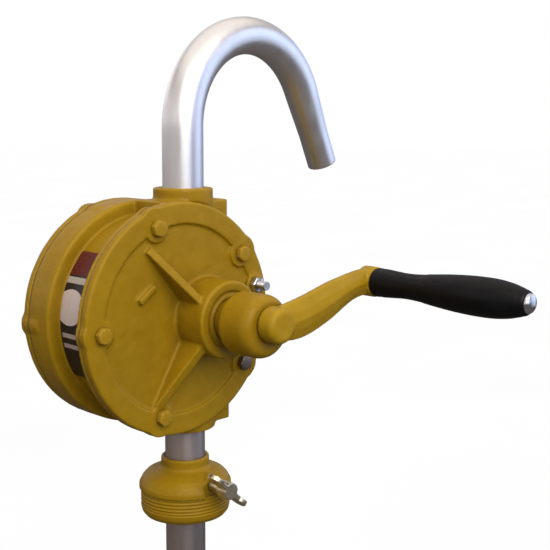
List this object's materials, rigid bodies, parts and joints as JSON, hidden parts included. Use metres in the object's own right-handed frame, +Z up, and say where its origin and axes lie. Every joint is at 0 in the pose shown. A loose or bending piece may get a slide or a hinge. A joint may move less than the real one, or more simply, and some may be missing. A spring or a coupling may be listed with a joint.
{
  "type": "drum barrel pump",
  "caption": "Hand-cranked rotary vane pump for a drum, with a bent swivel spout, S-shaped crank, sliding threaded bung adapter and telescoping suction tube.",
  "frame": {"origin": "centre of the bung adapter's thread, on the suction tube's axis", "axes": "+Z up along the suction tube, crank on the -Y side, spout outlet towards +X"},
  "size_m": [0.2495, 0.2647, 0.6282],
  "materials": {
    "yellow_paint": "mustard yellow gloss paint over a rough casting",
    "bolt_paint": "the same yellow paint brushed over steel bolt heads",
    "bright_tube": "brushed aluminium, lightly dulled",
    "steel_tube": "dull grey drawn steel",
    "machined_steel": "turned steel",
    "zinc": "bright zinc plating",
    "bronze": "plain bronze",
    "brass_screw": "worn brass",
    "cast_rotor": "machined grey iron",
    "carbon_vane": "dark filled plastic",
    "black_grip": "satin black moulded plastic",
    "seal_rubber": "black nitrile rubber",
    "packing": "greased braided packing",
    "gasket_sheet": "compressed fibre sheet",
    "sticker": "plain printed vinyl with blocks of colour and no text",
    "foot_plastic": "black moulded plastic"
  },
  "bodies": {
    "pump": {"pump_body": "yellow_paint", "front_cover": "yellow_paint", "rear_cover": "yellow_paint", "front_gasket": "gasket_sheet", "rear_gasket": "gasket_sheet", "front_cover_bolts": "bolt_paint", "rear_cover_bolts": "bolt_paint", "earthing_screw": "zinc", "label_sticker": "sticker", "front_bush": "bronze", "rear_bush": "bronze", "packing_rings": "packing", "gland_nut": "yellow_paint", "spout_seal": "seal_rubber", "spout_retaining_screw": "zinc", "suction_tube_upper": "steel_tube", "tube_guide_bush": "foot_plastic"},
    "crank": {"rotor_shaft": "machined_steel", "rotor_key": "machined_steel", "rotor": "cast_rotor", "crank_arm": "yellow_paint", "crank_pin": "machined_steel", "grip_spindle": "zinc"},
    "vane_1": {"vane_1": "carbon_vane"},
    "vane_2": {"vane_2": "carbon_vane"},
    "vane_3": {"vane_3": "carbon_vane"},
    "vane_4": {"vane_4": "carbon_vane"},
    "grip": {"crank_grip": "black_grip"},
    "spout": {"spout": "bright_tube"},
    "lower_tube": {"suction_tube_lower": "steel_tube", "tube_piston_sleeve": "foot_plastic", "foot_strainer": "foot_plastic"},
    "seal_carrier": {"adapter_seal": "seal_rubber"},
    "adapter": {"bung_adapter": "yellow_paint"},
    "clamp_pad": {"clamp_pad": "brass_screw"},
    "thumb_screw": {"thumb_screw": "brass_screw"}
  },
  "joints": [
    {"name": "crank_turn", "type": "hinge", "parent": "pump", "child": "crank", "pos_m": [0, 0, 0.125], "axis": [0, -1, 0], "continuous": true},
    {"name": "vane_1_slide", "type": "slide", "parent": "crank", "child": "vane_1", "axis": [0.7071, 0, 0.7071], "range_m": [-0.002, 0]},
    {"name": "vane_2_slide", "type": "slide", "parent": "crank", "child": "vane_2", "axis": [-0.7071, 0, 0.7071], "range_m": [-0.002, 0]},
    {"name": "vane_3_slide", "type": "slide", "parent": "crank", "child": "vane_3", "axis": [-0.7071, 0, -0.7071], "range_m": [-0.002, 0]},
    {"name": "vane_4_slide", "type": "slide", "parent": "crank", "child": "vane_4", "axis": [0.7071, 0, -0.7071], "range_m": [-0.002, 0]},
    {"name": "grip_spin", "type": "hinge", "parent": "crank", "child": "grip", "pos_m": [0.088, 0, 0.145], "axis": [0, -1, 0], "continuous": true},
    {"name": "spout_swivel", "type": "hinge", "parent": "pump", "child": "spout", "pos_m": [0, 0, 0.2064], "axis": [0, 0, 1], "range_deg": [-45, 180]},
    {"name": "tube_extend", "type": "slide", "parent": "pump", "child": "lower_tube", "axis": [0, 0, -1], "range_m": [0, 0.27]},
    {"name": "adapter_height", "type": "slide", "parent": "pump", "child": "seal_carrier", "axis": [0, 0, 1], "range_m": [-0.25, 0.018]},
    {"name": "adapter_turn", "type": "hinge", "parent": "seal_carrier", "child": "adapter", "pos_m": [0, 0, 0.005], "axis": [0, 0, 1], "continuous": true},
    {"name": "pad_slide", "type": "slide", "parent": "adapter", "child": "clamp_pad", "axis": [0.0175, -0.9998, 0], "range_m": [0, 0.00375]},
    {"name": "thumb_screw_turn", "type": "hinge", "parent": "clamp_pad", "child": "thumb_screw", "pos_m": [0.00072, -0.04099, 0.0122], "axis": [0.0175, -0.9998, 0], "range_deg": [0, 1080]}
  ],
  "couplings": [
    {"joint": "thumb_screw_turn", "follows": "pad_slide", "rad_per_m": 5026.5}
  ]
}
